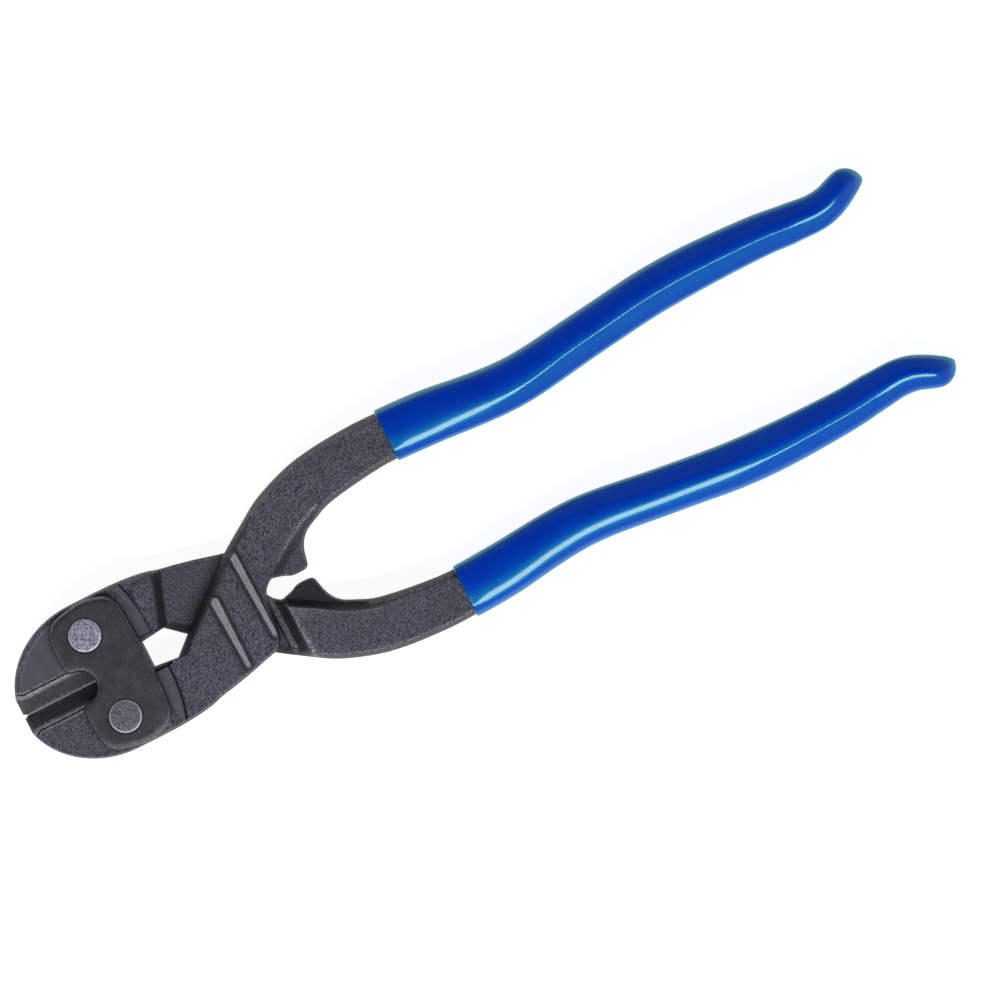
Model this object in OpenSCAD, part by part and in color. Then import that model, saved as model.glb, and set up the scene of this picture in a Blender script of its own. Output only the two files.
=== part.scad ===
// Compact lever nippers: two identical forged levers, one turned over, lapped across each
// other and hinged on two riveted side plates, with dipped grips on the handles.
// Millimetres. +X runs from the jaws to the handle ends, +Z is up out of the front plate.
// The origin is under the middle of the tool, which is drawn closed and lying flat.

/* [Overall] */
// Length over jaws and grips
overall_length = 200; // [196:1:204]
// Distance from the front of the jaws back to the two pivots
nose_length = 18.5; // [18:0.1:19]
// Distance from the centre line to each pivot
pivot_offset = 9.1; // [8.9:0.1:9.3]

/* [Jaws] */
// Half width of the closed head
head_half_width = 16.0; // [15.9:0.1:16.5]
// Half thickness of the machined jaws and seats
seat_half = 4.15; // [4:0.05:4.3]
// Radius of the machined seat round each pivot
seat_radius = 12.3; // [12:0.1:12.6]
// Width of each ground bevel, from the cutting edge to its step
bevel_width = 4.0; // [3.5:0.1:4.5]
// Gap between the two closed cutting edges
edge_gap = 0.04; // [0.02:0.01:0.1]

/* [Levers] */
// Half thickness of the forged arms and handles
forged_half = 4.6; // [4.5:0.05:4.8]
// Gap between the two lapped faces at the crossing
lap_gap = 0.12; // [0.06:0.02:0.2]
// Height of the raised ribs above the forged face
rib_height = 0.6; // [0.4:0.1:0.8]
// Depth of the forged pocket on the back of the head
pocket_depth = 0.5; // [0.3:0.1:0.8]
// Half thickness of the stop web between the handles
web_half = 2.0; // [1.5:0.1:2.5]
// Width of the draft step along the handle edges
draft_step = 1.1; // [1:0.1:1.3]
// Half thickness of the handle where its sides are full width
handle_side_half = 3.2; // [3:0.1:3.4]

/* [Side plates] */
// Thickness of each side plate
plate_thickness = 2.7; // [2.4:0.1:3]
// Running gap between a side plate and a seat
plate_gap = 0.05; // [0.03:0.01:0.1]
// Chamfer round the outer face of a side plate
plate_chamfer = 0.35; // [0.2:0.05:0.5]

/* [Rivets] */
// Radius of a rivet shank
shank_radius = 3.0; // [2.8:0.1:3.1]
// Radius of a rivet head
head_radius = 3.4; // [3.3:0.05:3.6]
// Height of a rivet head above its plate
head_height = 0.4; // [0.3:0.05:0.5]
// Running clearance between a shank and its lever
bore_clearance = 0.05; // [0.02:0.01:0.08]

/* [Grips] */
// Distance from the tool's middle to the open end of each grip, toward the jaws
grip_start = 9.3; // [8:0.1:10]
// Wall of the dipped grip beside the handle
grip_wall = 0.6; // [0.5:0.05:0.7]

/* [Hidden] */

$fn = 64;
end_x = overall_length / 2;
pivot_x = nose_length - end_x;
plate_inner = seat_half + plate_gap;
plate_outer = plate_inner + plate_thickness;
mid_height = plate_outer + head_height;
slack = 0.3;                    // how far a cutting shape runs past what it cuts

// Heel: the levers roll on each other here, keyed by one round tooth in its notch
tooth_radius = 1.0;
tooth_clearance = 0.15;
heel_angle = 18;

// Jaw nose: an ellipse cut off square at the front
nose_centre_x = pivot_x - 0.5;
nose_rise = 18.5;
nose_flat = 3.7;

// Handle centre line: x, y of the centre, half width of the steel
handle_line = [
    [-30, 15, 6.2], [-26.5, 16.1, 5.75], [-22, 16.85, 5.55], [-15, 17.5, 5.3], [-9.3, 17.6, 5.1],
    [0, 17.15, 5.05], [18, 15.7, 4.6], [36, 17.7, 4.35], [50, 19.35, 4.35], [62, 19.9, 4.2],
    [76, 19.6, 3.8], [86, 18.8, 3.45], [93, 20, 3.55], [97, 20.6, 3.4]];
tang_end = 97;

// Grip: shape of its section, its half thickness along the handle and its round end
grip_power = 3.4;
grip_thick_line = [[-9.3, 5.5], [10, 5.6], [50, 5.8], [76, 5.8], [97, 5.6]];
grip_round = 4.2;
grip_edge = 0.3;
ring_points = 28;
ring_pitch = 3;

// Raised ribs on the front of each arm: x, y of both ends and their radii
ribs = [[[-55, 4.4], 0.9, [-54.8, -11.7], 0.5], [[-47.6, 10.3], 0.8, [-47.2, -8.3], 0.5]];

// ---- curves ----

// One point of a smooth curve through a, b, c, d, between b and c
function blend(a, b, c, d, t) =
    0.5 * (2 * b + (c - a) * t + (2 * a - 5 * b + 4 * c - d) * t * t
           + (3 * b - a - 3 * c + d) * t * t * t);

// A smooth curve through points p with n steps between neighbours
function smooth(p, n) = concat(
    [for (i = [0 : len(p) - 2], k = [0 : n - 1])
        blend(p[max(i - 1, 0)], p[i], p[i + 1], p[min(i + 2, len(p) - 1)], k / n)],
    [p[len(p) - 1]]);

// A table row [x, ...] worked out at x, straight between the rows of p
function row_at(p, x, i = 0) =
    i >= len(p) - 2 || x < p[i + 1][0]
        ? p[i] + (p[i + 1] - p[i]) * (x - p[i][0]) / (p[i + 1][0] - p[i][0])
        : row_at(p, x, i + 1);

// Points along an arc
function arc(c, r, a0, a1, n) =
    [for (k = [0 : n]) let (a = a0 + (a1 - a0) * k / n) c + r * [cos(a), sin(a)]];

// ---- lever outline, for the lever whose jaw is at -Y and whose handle is at +Y ----

fine_handle = smooth(handle_line, 4);

// Nose of the jaw, from the cutting edge round to the side of the head
nose = concat(
    [[-end_x + 0.8, -edge_gap / 2], [-end_x, -0.5], [-end_x, -nose_flat]],
    [for (k = [1 : 9]) let (a = 193 + 77 * k / 9)
        [nose_centre_x + nose_rise * cos(a), head_half_width * sin(a)]]);

// Outer side of the arm behind the jaw, up to the corner at the crossing
arm_side = [[-77, -16], [-72, -15.9], [-67.5, -15.5], [-64, -14.9], [-56, -13.1],
            [-49.4, -11.3], [-48.7, -10.8], [-47.4, -8.8], [-46.4, -2], [-45.7, 0]];

// Notch and stop bump between the handles
stop_bump = concat(
    smooth([[-45.7, 0], [-43, 2.3], [-40.6, 1.7], [-38.7, 1], [-36, 1]], 3),
    smooth([[-35, 1.5], [-34.6, 4], [-33.7, 6], [-32.3, 7.6], [-30, 8.8]], 3));

// Outer side of the handle from the crossing to where the handle line begins
handle_root = [[-35, 19.5], [-39.1, 17.7], [-43.1, 15.2], [-49.2, 11.1], [-56.2, 5.5],
               [-62.9, 0.1], [-65, -1.75], [-67.1, -3.35], [-72, -2.75]];

// Rolling heel, from the back of the head to the pivots' centre line
heel = concat(
    [for (k = [4 : -1 : 0]) let (a = 90 - heel_angle * k / 4)
        [pivot_x, -pivot_offset] + (pivot_offset - edge_gap / 2) * [cos(a), sin(a)]]);

// Outline of the handle alone, its sides moved in by inset
function handle_outline(inset) = concat(
    [for (p = fine_handle) [p[0], p[1] - p[2] + inset]],
    [for (k = [len(fine_handle) - 1 : -1 : 0]) let (p = fine_handle[k])
        [p[0], p[1] + p[2] - inset]]);

head_outline = concat(
    nose, arm_side, stop_bump,
    [[-29.9, 8.85], [-29.9, 21.1]], handle_root, heel);

// ---- pieces of a lever ----

// A straight-sided layer of outline p from z0 up to z1
module layer(p, z0, z1) {
    translate([0, 0, z0]) linear_extrude(z1 - z0) polygon(p);
}

// Handle steel, stepped in toward its faces like the draft of a forging
module handle_bar() {
    layer(handle_outline(0), -handle_side_half, handle_side_half);
    layer(handle_outline(draft_step), -forged_half, forged_half);
}

// Steel of the head, lap and handle root, before machining
module head_blank() {
    // the front half carries the whole outline
    layer(head_outline, lap_gap / 2, forged_half);
    // the back half is left out at the crossing, where the other lever lies
    intersection() {
        layer(head_outline, -forged_half, 1);
        union() {
            layer([[-end_x - 1, 2], [-66.9, 2], [-66.9, -3.4], [-62.4, -14.9], [-62.4, -18],
                   [-end_x - 1, -18]], -forged_half - 1, 2);
            layer([[-43.2, 0], [-30, 0], [-30, 22], [-41.8, 22], [-43.2, 13]],
                  -forged_half - 1, 2);
        }
    }
}

// Everything above the seats: round the pivot and over the whole jaw
module seat_cut() {
    translate([pivot_x, -pivot_offset, seat_half])
        cylinder(r = seat_radius, h = forged_half, $fn = 128);
    translate([-end_x - 1, -head_half_width - 2, seat_half])
        cube([nose_length + 1, head_half_width + 3, forged_half]);
}

// Ledge along the heel, which lets it swing under the side plates
module heel_relief() {
    layer([[-73, -3.7], [-68.4, -4.2], [-68.4, 0], [-73, 0]], seat_half - 1, forged_half + 1);
}

// Shallow as-forged pocket beside the seat, on the back only
module back_pocket() {
    layer([[-69, -13.8], [-64.7, -13.6], [-68, -4.4], [-69.2, -4.4]],
          -forged_half - 1, -forged_half + pocket_depth);
}

// Space beside the thin stop web
module web_cut() {
    layer([[-45.9, -1], [-33, -1], [-30.8, 8.9], [-33.2, 8.3], [-38, 5.4], [-41.8, 2.9]],
          web_half, forged_half + 1);
}

// V ground along the cutting edge, one side of the blade
module bevel_cut() {
    foot = seat_half + slack;
    translate([-end_x - 1, 0, 0]) rotate([90, 0, 90])
        linear_extrude(nose_length - 0.5)
            polygon([[slack, -slack], [slack, foot], [-bevel_width, foot],
                     [-bevel_width, seat_half - 0.25], [-2.8, 2.9], [-0.2, 0.3], [0, 0]]);
}

// A tapered rib with round ends
module rib(r) {
    run = r[2] - r[0];
    heading = atan2(run[1], run[0]);
    layer(concat(arc(r[0], r[1], heading + 90, heading + 270, 8),
                 arc(r[2], r[3], heading - 90, heading + 90, 8)),
          forged_half - 0.2, forged_half + rib_height);
}

// One lever about the mid-plane of the tool: jaw at -Y, handle at +Y, lap in front
module lever() {
    difference() {
        union() {
            head_blank();
            handle_bar();
            for (r = ribs) rib(r);
            // rolling tooth, in the front half only
            translate([pivot_x, 0, lap_gap / 2])
                cylinder(r = tooth_radius, h = seat_half - lap_gap / 2, $fn = 32);
        }
        // bore for the rivet
        translate([pivot_x, -pivot_offset, -forged_half - 1])
            cylinder(r = shank_radius + bore_clearance, h = 2 * forged_half + 2);
        // notch for the other lever's tooth, in the back half only
        translate([pivot_x, 0, -forged_half - 1])
            cylinder(r = tooth_radius + tooth_clearance, h = forged_half + 1 + lap_gap / 2,
                     $fn = 32);
        back_pocket();
        for (side = [0, 1]) mirror([0, 0, side]) {
            seat_cut();
            heel_relief();
            web_cut();
            bevel_cut();
        }
    }
}

// ---- grip ----

// Half width factors of the rounded open edge and of the round closed end
grip_body_x = concat(
    [-grip_start + grip_edge],
    [for (x = [-grip_start + ring_pitch : ring_pitch : end_x - grip_round - 1]) x],
    [end_x - grip_round]);

// One ring of the grip at x, its centre and half width read at x_read, scaled by f
function ring(x, x_read, f, shrink = 0) =
    let (p = row_at(fine_handle, min(x_read, tang_end)),
         w = (p[2] + grip_wall) * f - shrink,
         t = row_at(grip_thick_line, min(x_read, tang_end))[1] * f - shrink)
    [for (k = [0 : ring_points - 1]) let (a = 360 * k / ring_points)
        [x,
         p[1] + w * sign(cos(a)) * pow(abs(cos(a)), 2 / grip_power),
         t * sign(sin(a)) * pow(abs(sin(a)), 2 / grip_power)]];

// Joins rings of equal count into one closed solid
module skin(rings) {
    n = len(rings[0]);
    last = len(rings) - 1;
    polyhedron(
        points = [for (r = rings) each r],
        faces = concat(
            [[for (k = [0 : n - 1]) k]],
            [[for (k = [n - 1 : -1 : 0]) last * n + k]],
            [for (i = [0 : last - 1], k = [0 : n - 1]) let (j = (k + 1) % n)
                each [[i * n + k, (i + 1) * n + k, (i + 1) * n + j],
                      [i * n + k, (i + 1) * n + j, i * n + j]]]));
}

// One dipped grip about the mid-plane, over the handle at +Y
module grip() {
    round_x = end_x - grip_round;
    cap_angles = [15, 30, 45, 58, 70, 80];
    difference() {
        skin(concat(
            [ring(-grip_start, -grip_start, 1, grip_edge * 0.6)],
            [for (x = grip_body_x) ring(x, x, 1)],
            [for (a = cap_angles)
                ring(round_x + grip_round * sin(a) / sin(80), round_x, cos(a))]));
        handle_bar();
    }
}

// ---- side plates and rivets ----

// Upper half of the plate outline, from the middle of its back round to its front slot
slot_centre_x = pivot_x - 5.45;
slot_radius = 3.25;
horn_radius = 1.8;
horn_centre = [slot_centre_x + 0.2, 5.05];
plate_half_outline = concat(
    smooth([[-71.95, 0], [-72.05, 6], [-72.4, 11], [-73.1, 13], [-74.7, 14.5], [-77.5, 15.35],
            [-80.5, 15.5], [-85.4, 14.6], [-87.5, 13.1], [-88.35, 11], [-88.6, 8.5]], 2),
    arc(horn_centre, horn_radius, 180, 268, 6),
    arc([slot_centre_x, 0], slot_radius, 86, 6, 8));

// Plate outline with every point moved toward the middle by inset
function plate_outline(inset) =
    let (middle = [pivot_x + 1.5, 0],
         half = plate_half_outline,
         whole = concat(half, [[slot_centre_x + slot_radius, 0]],
                        [for (k = [len(half) - 1 : -1 : 1]) [half[k][0], -half[k][1]]]))
    [for (p = whole) p + (middle - p) * inset / norm(middle - p)];

module side_plate() {
    difference() {
        union() {
            layer(plate_outline(0), plate_inner, plate_outer - plate_chamfer);
            layer(plate_outline(plate_chamfer), plate_inner, plate_outer);
        }
        for (s = [-1, 1]) translate([pivot_x, s * pivot_offset, 0])
            cylinder(r = shank_radius, h = plate_outer + 1);
    }
}

module rivet() {
    cylinder(r = shank_radius, h = 2 * plate_outer, center = true);
    for (side = [0, 1]) mirror([0, 0, side]) translate([0, 0, plate_outer])
        cylinder(r1 = head_radius, r2 = head_radius - 0.25, h = head_height);
}

// ---- nodes ----

module lying() { translate([0, 0, mid_height]) children(); }
module turned_over() { lying() rotate([180, 0, 0]) children(); }

module side_plate_front() { color("#3c3b42") lying() side_plate(); }
module side_plate_rear() { color("#3c3b42") turned_over() side_plate(); }
module rivet_a() { color("#77778a") lying() translate([pivot_x, -pivot_offset, 0]) rivet(); }
module rivet_b() { color("#77778a") lying() translate([pivot_x, pivot_offset, 0]) rivet(); }
module lever_a() { color("#4b4b55") lying() lever(); }
module lever_b() { color("#4b4b55") turned_over() lever(); }
module grip_a() { color("#0a40a6") lying() grip(); }
module grip_b() { color("#0a40a6") turned_over() grip(); }

side_plate_front();
side_plate_rear();
rivet_a();
rivet_b();
lever_a();
lever_b();
grip_a();
grip_b();
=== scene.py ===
"""Lever nippers with dipped grips, lying closed on a pale studio floor.

Shapes are worked out in millimetres about the tool's mid-plane, with +X from the jaws to the
handle ends, and are put into the frame, in metres, as each mesh is made.
"""

import math

import bpy
import numpy as np
from mathutils import Matrix, Vector
from mathutils.geometry import delaunay_2d_cdt


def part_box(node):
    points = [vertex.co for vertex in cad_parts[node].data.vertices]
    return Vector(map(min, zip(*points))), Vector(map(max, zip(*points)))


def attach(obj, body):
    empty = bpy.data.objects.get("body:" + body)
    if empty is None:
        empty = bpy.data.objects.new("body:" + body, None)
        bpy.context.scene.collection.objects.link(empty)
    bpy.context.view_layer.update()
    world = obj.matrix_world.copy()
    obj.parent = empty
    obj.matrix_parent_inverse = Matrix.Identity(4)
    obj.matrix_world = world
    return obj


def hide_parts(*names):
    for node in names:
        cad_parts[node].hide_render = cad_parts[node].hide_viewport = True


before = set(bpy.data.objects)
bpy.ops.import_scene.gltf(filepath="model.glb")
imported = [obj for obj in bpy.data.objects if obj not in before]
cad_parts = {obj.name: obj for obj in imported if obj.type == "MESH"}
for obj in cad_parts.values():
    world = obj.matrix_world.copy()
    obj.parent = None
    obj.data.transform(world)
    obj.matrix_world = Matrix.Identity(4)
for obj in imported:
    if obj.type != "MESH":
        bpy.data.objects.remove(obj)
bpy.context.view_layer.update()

MM = 0.001


# ---------------------------------------------------------------- sizes from the frame

def box_mm(node):
    low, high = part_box(node)
    return np.array(low) / MM, np.array(high) / MM


plate_low, plate_high = box_mm("side_plate_front")
rivet_low, rivet_high = box_mm("rivet_a")
lever_low = box_mm("lever_a")[0]
grip_low, grip_high = box_mm("grip_a")

MID = (rivet_low[2] + rivet_high[2]) / 2                  # height of the mid-plane
PIVOT = np.array([rivet_low[0] + rivet_high[0], rivet_low[1] + rivet_high[1]]) / 2
PLATE_IN, PLATE_OUT = plate_low[2] - MID, plate_high[2] - MID
RIVET_TOP = rivet_high[2] - MID
HEAD_R = (rivet_high[0] - rivet_low[0]) / 2
NOSE_X = lever_low[0]
CUFF_X, TIP_X = grip_low[0], grip_high[0]

# Lever, in millimetres
FORGED = 4.6           # half thickness of the forged faces
SEAT = PLATE_IN - 0.05  # half thickness of the machined seats and jaws
SEAT_ARC = np.array([-102.1, -5.05])   # centre of the arc that ends the seat
SEAT_R = 32.9
LAP = 0.06             # each lapped face stands this far off the mid-plane
WEB = 2.0              # half thickness of the stop web
RIB = 0.55             # height of the ribs
EDGE_Y = 0.02          # each cutting edge stands this far off the centre line
BEVEL = 4.0            # where the ground V meets the jaw face
BORE_R = 3.05
SHANK_R = 3.0

# Handle centre line: x, y of its centre, half width of the steel
HANDLE = np.array([
    (-30, 15, 6.2), (-26.5, 16.1, 5.75), (-22, 16.85, 5.55), (-15, 17.5, 5.3), (-9.3, 17.6, 5.1),
    (0, 17.15, 5.05), (18, 15.7, 4.6), (36, 17.7, 4.35), (50, 19.35, 4.35), (62, 19.9, 4.2),
    (76, 19.6, 3.8), (86, 18.8, 3.45), (93, 20, 2.9), (96.5, 20.8, 2)])
WALL = 0.6             # dipped wall beside the steel
DRAFT = 1.3            # how far a forged edge leans in from the parting line to the face
TANG_DRAFT = 1.9       # the same inside the grips
TANG_THIN = 0.9        # how much thinner the tang is inside the grips
JAW_END = PIVOT[0] - 1.4               # the cutting edge and the ground V end here
V_END, STRIP_END = 0.68, 0.95          # shares of the V's width: its ground face, its rough strip
NOSE_CENTRE = PIVOT[0] - 0.5           # x of the ellipse that is the jaw's nose
NOSE_LONG, NOSE_WIDE = 18.5, 16.0      # and its half lengths
CUT_DEEP = 0.3         # a side wall's parting line keeps this share of the thickness from a face


# ---------------------------------------------------------------- curves and fields

def step(a, b, t):
    """Smooth 0 to 1 as t goes from a to b."""
    s = np.clip((t - a) / (b - a), 0, 1)
    return s * s * (3 - 2 * s)


def smooth(points, per=12):
    """A smooth curve through the points, per pieces between neighbours."""
    p = np.array(points, float)
    p = np.vstack([p[0], p, p[-1]])
    t = (np.arange(per) / per)[:, None]
    out = []
    for a, b, c, d in zip(p, p[1:], p[2:], p[3:]):
        out.append(0.5 * (2 * b + (c - a) * t + (2 * a - 5 * b + 4 * c - d) * t ** 2
                          + (3 * b - a - 3 * c + d) * t ** 3))
    return np.vstack(out + [p[-1:]])


def resample(points, gap):
    """The polyline at an even spacing of about gap, ends kept."""
    p = np.array(points, float)
    run = np.concatenate([[0], np.cumsum(np.linalg.norm(np.diff(p, axis=0), axis=1))])
    want = np.linspace(0, run[-1], max(2, int(math.ceil(run[-1] / gap)) + 1))
    return np.column_stack([np.interp(want, run, p[:, 0]), np.interp(want, run, p[:, 1])])


def arc(centre, radius, start, end, gap=0.3):
    n = max(3, int(abs(math.radians(end - start)) * radius / gap))
    a = np.radians(np.linspace(start, end, n + 1))
    return np.column_stack([centre[0] + radius * np.cos(a), centre[1] + radius * np.sin(a)])


def waves(x, y, size, seed):
    """Gentle unevenness from -1 to 1, about size across."""
    rng = np.random.default_rng(seed)
    total = np.zeros_like(x, dtype=float)
    for _ in range(7):
        angle, phase = rng.uniform(0, 2 * math.pi, 2)
        k = 2 * math.pi / (size * rng.uniform(0.7, 1.6))
        total += np.sin(k * (x * math.cos(angle) + y * math.sin(angle)) + phase)
    return total / 4


def line_side(x, y, points):
    """Signed distance from an open polyline, positive on its left."""
    p = np.array(points, float)
    best, sign = np.full(x.shape, 1e9), np.ones(x.shape)
    for a, b in zip(p, p[1:]):
        d = b - a
        t = np.clip(((x - a[0]) * d[0] + (y - a[1]) * d[1]) / (d @ d), 0, 1)
        ex, ey = x - a[0] - t * d[0], y - a[1] - t * d[1]
        far = np.hypot(ex, ey)
        closer = far < best
        best = np.where(closer, far, best)
        sign = np.where(closer, np.sign(d[0] * ey - d[1] * ex + 1e-12), sign)
    return best * sign


def inside(x, y, loop):
    """Which points lie inside a closed loop."""
    found = np.zeros(x.shape, bool)
    for a, b in zip(loop, np.roll(loop, -1, axis=0)):
        if a[1] != b[1]:
            crosses = (a[1] > y) != (b[1] > y)
            found ^= crosses & (x < (b[0] - a[0]) * (y - a[1]) / (b[1] - a[1]) + a[0])
    return found


# ---------------------------------------------------------------- mesh building

def new_object(name, verts_mm, faces, marks, material, turned=False, crisp=38):
    """A mesh piece from points in millimetres about the mid-plane.

    marks are values for each point that the material reads, turned flips the piece about X, and
    an edge is sharp where its faces meet at more than crisp degrees.
    """
    v = np.array(verts_mm, float)
    if turned:
        v = v * (1, -1, -1)
    v = (v + (0, 0, MID)) * MM
    mesh = bpy.data.meshes.new(name)
    mesh.from_pydata(v.tolist(), [], [list(map(int, f)) for f in faces])
    for key, values in marks.items():
        layer = mesh.attributes.new(key, "FLOAT", "POINT")
        layer.data.foreach_set("value", np.asarray(values, np.float32))
    mesh.validate()
    mesh.shade_smooth()
    mesh.set_sharp_from_angle(angle=math.radians(crisp))
    obj = bpy.data.objects.new(name, mesh)
    bpy.context.scene.collection.objects.link(obj)
    mesh.materials.append(material)
    return obj


def inward(loop):
    """Unit inward normals of a loop that keeps its material on the left, mitred at corners."""
    along = np.roll(loop, -1, axis=0) - loop
    along /= np.maximum(np.linalg.norm(along, axis=1), 1e-9)[:, None]
    left = np.column_stack([-along[:, 1], along[:, 0]])
    both = left + np.roll(left, 1, axis=0)
    both /= np.maximum(np.linalg.norm(both, axis=1), 1e-9)[:, None]
    slant = np.clip((both * left).sum(axis=1), 0.6, 1)
    return both / slant[:, None]


def spread(values, loop, reach, lowest):
    """Values round a loop, smoothed over reach; lowest keeps the smallest nearby value first."""
    spacing = np.linalg.norm(np.roll(loop, -1, axis=0) - loop, axis=1).mean()
    n = max(1, int(reach / spacing))
    v = np.array(values, float)
    if lowest:
        v = np.min([np.roll(v, k) for k in range(-n, n + 1)], axis=0)
    return np.mean([np.roll(v, k) for k in range(-n, n + 1)], axis=0)


def thin_out(fixed, candidates, gap):
    """Keeps the candidates that stay at least gap from the fixed points and from each other."""
    cells = {}
    for p in fixed:
        cells.setdefault((int(p[0] // gap), int(p[1] // gap)), []).append(p)
    kept = []
    for p in candidates:
        cx, cy = int(p[0] // gap), int(p[1] // gap)
        near = (q for i in (-1, 0, 1) for j in (-1, 0, 1) for q in cells.get((cx + i, cy + j), ()))
        if all((q[0] - p[0]) ** 2 + (q[1] - p[1]) ** 2 >= gap * gap for q in near):
            cells.setdefault((cx, cy), []).append(p)
            kept.append(p)
    return np.array(kept).reshape(-1, 2)


def triangulate(loops, points):
    """Triangles of the region inside loops, the first loop its outside and the rest holes."""
    fixed = np.vstack(loops)
    edges, start = [], 0
    for loop in loops:
        n = len(loop)
        edges += [(start + k, start + (k + 1) % n) for k in range(n)]
        start += n
    both = np.vstack([fixed, points])
    out, _, faces, origin, _, _ = delaunay_2d_cdt([Vector(p) for p in both], edges, [], 0, 1e-7)
    place = {}
    for new, olds in enumerate(origin):
        for old in olds:
            place[old] = new
    xy = np.array([tuple(p) for p in out])
    tri = np.array(faces)
    mid = xy[tri].mean(axis=1)
    keep = inside(mid[:, 0], mid[:, 1], loops[0])
    for hole in loops[1:]:
        keep &= ~inside(mid[:, 0], mid[:, 1], hole)
    return xy, tri[keep], [place[k] for k in range(len(fixed))]


# How an edge rounds over from the parting line to a face: share of the inset, share of the rise
EDGE_PROFILE = [(0.0, 0.0), (0.09, 0.2), (0.22, 0.45), (0.38, 0.68), (0.56, 0.85), (0.76, 0.955),
                (1.0, 1.0)]


def slab(loops, insets, front, back, rows, grid, coarse=None):
    """A plate-like solid between the fields front(x, y) and back(x, y), depths from the mid-plane.

    Each loop's edge rounds over by its inset. rows are polylines that the faces follow, and grid
    is the spacing of the points between, five times that past x = coarse. Returns points, faces
    and each point's place on an edge, from 0 on the parting line to 1 on a face.
    """
    verts, faces, edge = [], [], []

    def add(xy, z, share):
        first = len(verts)
        verts.extend(np.column_stack([xy, z]).tolist())
        edge.extend([share] * len(xy))
        return np.arange(first, first + len(xy))

    rims = {1: [], -1: []}
    inner_loops = []
    for loop, inset in zip(loops, insets):
        push = inward(loop) * np.asarray(inset)[:, None]
        inner = loop + push
        inner_loops.append(inner)
        top = front(inner[:, 0], inner[:, 1])
        bottom = -back(inner[:, 0], inner[:, 1])
        keep_off = CUT_DEEP * (top - bottom)
        mid = np.clip(0, bottom + keep_off, top - keep_off)
        mid = spread(mid, loop, 0.8, False)
        middle = add(loop, mid, 0.0)
        for side, end in ((1, top), (-1, bottom)):
            last = middle
            for a, b in EDGE_PROFILE[1:]:
                ring = add(loop + push * a, mid + (end - mid) * b, b)
                nxt, rnx = np.roll(last, -1), np.roll(ring, -1)
                quads = np.column_stack([last, nxt, rnx, ring])
                faces.extend((quads if side > 0 else quads[:, ::-1]).tolist())
                last = ring
            rims[side].extend(last.tolist())

    low, high = loops[0].min(axis=0), loops[0].max(axis=0)
    fixed = np.vstack(inner_loops)
    row_points = np.vstack([resample(r, 0.3) for r in rows]) if rows else np.zeros((0, 2))
    gx, gy = np.meshgrid(np.arange(low[0], high[0], grid), np.arange(low[1], high[1], grid * 0.87))
    gx = gx + (np.arange(gx.shape[0]) % 2)[:, None] * grid / 2
    net = np.column_stack([gx.ravel(), gy.ravel()])
    if coarse is not None:
        every = ((np.arange(gx.shape[0]) % 5 == 0)[:, None]
                 & (np.arange(gx.shape[1]) % 5 == 0)[None]).ravel()
        net = net[(net[:, 0] < coarse) | every]

    def clear(points):
        ok = inside(points[:, 0], points[:, 1], inner_loops[0])
        for hole in inner_loops[1:]:
            ok &= ~inside(points[:, 0], points[:, 1], hole)
        return points[ok]

    row_points = thin_out(fixed, clear(row_points), 0.09)
    net = thin_out(np.vstack([fixed, row_points]), clear(net), grid * 0.55)
    xy, tri, place = triangulate(inner_loops, np.vstack([row_points, net]))
    for side, field in ((1, front), (-1, back)):
        z = side * field(xy[:, 0], xy[:, 1])
        index = np.full(len(xy), -1)
        for k, new in enumerate(place):
            index[new] = rims[side][k]
        free = np.where(index < 0)[0]
        index[free] = add(xy[free], z[free], 1.0)
        t = index[tri]
        faces.extend((t if side > 0 else t[:, ::-1]).tolist())
    return np.array(verts), faces, np.array(edge)


# ---------------------------------------------------------------- lever shape
# The lever whose jaw is at -Y and whose handle is at +Y. The other is the same piece turned over.

FINE_HANDLE = smooth(HANDLE, 8)
HANDLE_IN = FINE_HANDLE[:, :2] - FINE_HANDLE[:, 2:] * (0, 1)
HANDLE_OUT = FINE_HANDLE[:, :2] + FINE_HANDLE[:, 2:] * (0, 1)


def nose_curve():
    """The jaw's nose: an ellipse that the front cuts off square."""
    a = np.radians(np.linspace(194, 270, 60))
    return np.column_stack([NOSE_CENTRE + NOSE_LONG * np.cos(a), NOSE_WIDE * np.sin(a)])


def in_grip(x):
    """0 outside the grips, 1 well inside them."""
    return step(CUFF_X + 1, CUFF_X + 8, x)


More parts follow.
